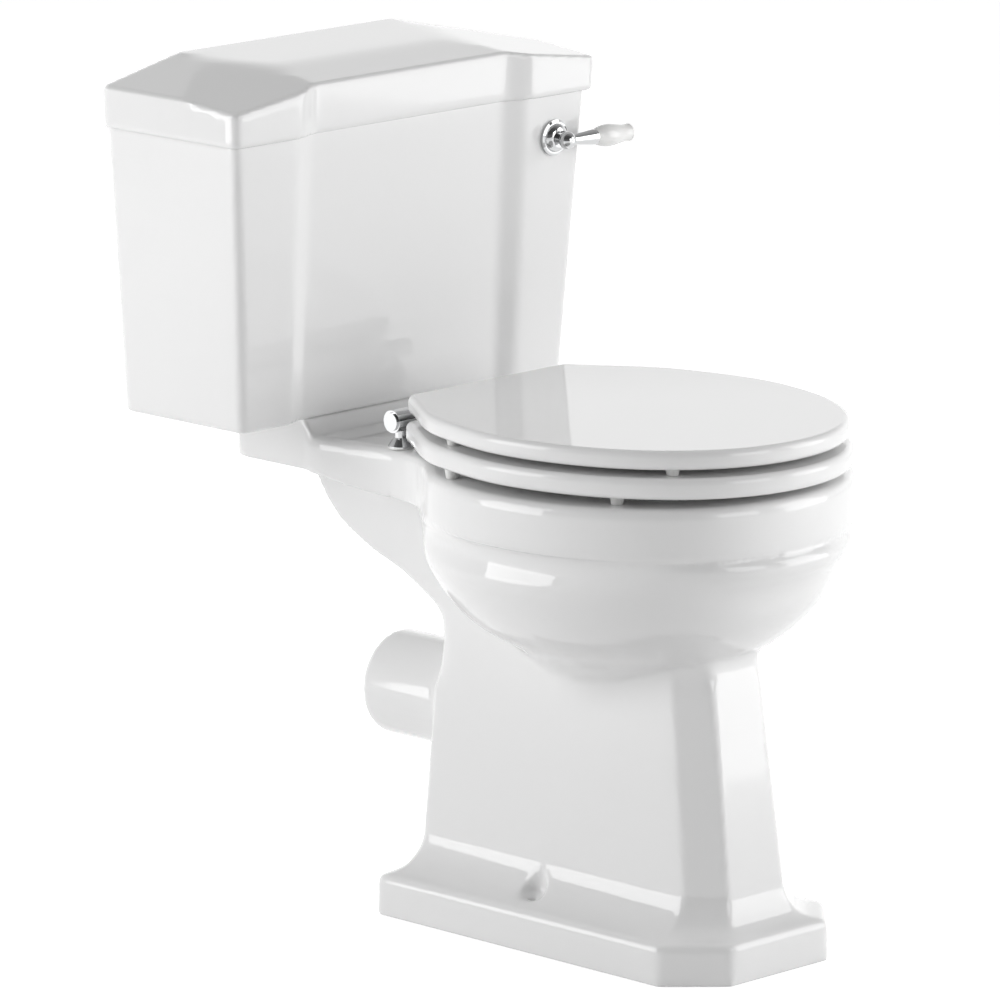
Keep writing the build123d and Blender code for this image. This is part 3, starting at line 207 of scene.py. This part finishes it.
def smoothed(obj, rounds, boxes=None):
    """Smooths the object's mesh, all over or in the boxes alone."""
    smooth = obj.modifiers.new("smooth", "SMOOTH")
    smooth.factor = SMOOTH_SHARE
    smooth.iterations = rounds
    if boxes:
        group = obj.vertex_groups.new(name="blend")
        for vertex in obj.data.vertices:
            weight = within(vertex.co, boxes)
            if weight > 0:
                group.add([vertex.index], weight, "REPLACE")
        smooth.vertex_group = group.name
    applied(obj)
    obj.vertex_groups.clear()


def cast(name, parts, body, rounds, blends=()):
    """A soft-edged copy of china nodes, as glaze leaves them, smoothed more in each blend."""
    shape = bmesh.new()
    for part in parts:
        shape.from_mesh(nodes[part].data)
    mesh = bpy.data.meshes.new(name)
    shape.to_mesh(mesh)
    shape.free()
    obj = bpy.data.objects.new(name, mesh)
    scene.collection.objects.link(obj)
    remesh = obj.modifiers.new("remesh", "REMESH")
    remesh.mode = "VOXEL"
    remesh.voxel_size = VOXEL
    applied(obj)
    smoothed(obj, rounds)
    for boxes, count in blends:
        smoothed(obj, count, boxes)
    obj.data.shade_smooth()
    obj.data.materials.clear()
    obj.data.materials.append(finishes[node_slots[parts[0]]])
    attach(obj, body)
    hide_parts(*parts)


cast("pan_glazed", ["pan_rim", "pan_bowl", "pan_foot"], "toilet", PAN_ROUNDS, PAN_BLENDS)
cast("cistern_glazed", ["cistern"], "toilet", CISTERN_ROUNDS)
cast("cistern_lid_glazed", ["cistern_lid"], "cistern_lid", CISTERN_ROUNDS, LID_BLENDS)

for name, obj in nodes.items():
    obj.data.shade_smooth()

# Studio: a pale floor that keeps a faint shadow and looks white, in reflections too
bpy.ops.mesh.primitive_plane_add(size=FLOOR_SIZE, location=(0, 0, -FLOOR_DROP))
floor = bpy.context.object
floor.name = "floor"
ground = bpy.data.materials.new("floor")
ground.use_nodes = True
tree = ground.node_tree
shader = tree.nodes["Principled BSDF"]
shader.inputs["Base Color"].default_value = FLOOR_COLOUR
shader.inputs["Roughness"].default_value = FLOOR_ROUGH
shader.inputs["Emission Color"].default_value = WHITE
ray = tree.nodes.new("ShaderNodeLightPath")
direct = tree.nodes.new("ShaderNodeMath")
direct.operation = "MAXIMUM"
link(tree, ray, "Is Camera Ray", direct, 0)
link(tree, ray, "Is Glossy Ray", direct, 1)
shown = tree.nodes.new("ShaderNodeMath")
shown.operation = "MAXIMUM"
link(tree, direct, "Value", shown, 0)
link(tree, ray, "Is Transmission Ray", shown, 1)
glow = tree.nodes.new("ShaderNodeMath")
glow.operation = "MULTIPLY"
glow.inputs[1].default_value = FLOOR_GLOW
link(tree, shown, "Value", glow, 0)
link(tree, glow, "Value", shader, "Emission Strength")
floor.data.materials.append(ground)


def ramp_node(tree, stops):
    """A grey ramp through stops of place and level."""
    ramp = tree.nodes.new("ShaderNodeValToRGB")
    while len(ramp.color_ramp.elements) < len(stops):
        ramp.color_ramp.elements.new(0.5)
    for element, (place, level) in zip(ramp.color_ramp.elements, stops):
        element.position = place
        element.color = (level, level, level, 1)
    return ramp


def along(tree, direction):
    """How far a ray points along a direction, from 0 against it to 1 with it."""
    way = tree.nodes.new("ShaderNodeVectorMath")
    way.operation = "DOT_PRODUCT"
    way.inputs[1].default_value = direction
    share = tree.nodes.new("ShaderNodeMapRange")
    share.inputs["From Min"].default_value = -1
    share.inputs["From Max"].default_value = 1
    link(tree, tree.nodes.new("ShaderNodeTexCoord"), "Generated", way, 0)
    link(tree, way, "Value", share, "Value")
    return share


world = bpy.data.worlds.new("surround")
world.use_nodes = True
scene.world = world
sky = world.node_tree
across = ramp_node(sky, NEAR_TO_FAR)
upward = ramp_node(sky, LOW_TO_HIGH)
link(sky, along(sky, FAR_SIDE), "Result", across, "Fac")
link(sky, along(sky, (0, 0, 1)), "Result", upward, "Fac")
level = sky.nodes.new("ShaderNodeMix")
level.data_type = "RGBA"
level.blend_type = "MULTIPLY"
level.inputs[MIX_SHARE].default_value = 1
link(sky, across, "Color", level, MIX_FIRST)
link(sky, upward, "Color", level, MIX_SECOND)
background = sky.nodes["Background"]
background.inputs["Strength"].default_value = SURROUND_POWER
link(sky, level, MIX_RESULT, background, "Color")


def soft_box(name, azimuth, distance, middle, width, height, power):
    """A lamp that faces the toilet: upright where it stands on the floor, else tilted down."""
    lamp = bpy.data.lights.new(name, "AREA")
    lamp.shape = "RECTANGLE"
    lamp.size, lamp.size_y = width, height
    lamp.energy = power
    obj = bpy.data.objects.new(name, lamp)
    scene.collection.objects.link(obj)
    turn = math.radians(azimuth)
    obj.location = (
        TARGET.x + math.sin(turn) * distance,
        TARGET.y - math.cos(turn) * distance,
        middle,
    )
    facing = TARGET - obj.location
    if middle <= height / 2:
        facing.z = 0
    obj.rotation_euler = facing.to_track_quat("-Z", "Y").to_euler()


for name, setting in SOFT_BOXES.items():
    soft_box(name, *setting)

camera = bpy.data.objects.new("camera", bpy.data.cameras.new("camera"))
scene.collection.objects.link(camera)
scene.camera = camera
camera.data.lens = LENS_MM
camera.data.sensor_width = SENSOR_MM
camera.data.clip_end = VIEW_DEPTH
back = Vector(
    (
        math.sin(AZIMUTH) * math.cos(ELEVATION),
        -math.cos(AZIMUTH) * math.cos(ELEVATION),
        math.sin(ELEVATION),
    )
)
aim = (-back).to_track_quat("-Z", "Y").to_matrix().to_4x4()
camera.matrix_world = Matrix.Translation(TARGET + back * DISTANCE) @ aim @ Matrix.Rotation(ROLL, 4, "Z")

scene.view_settings.view_transform = "Standard"
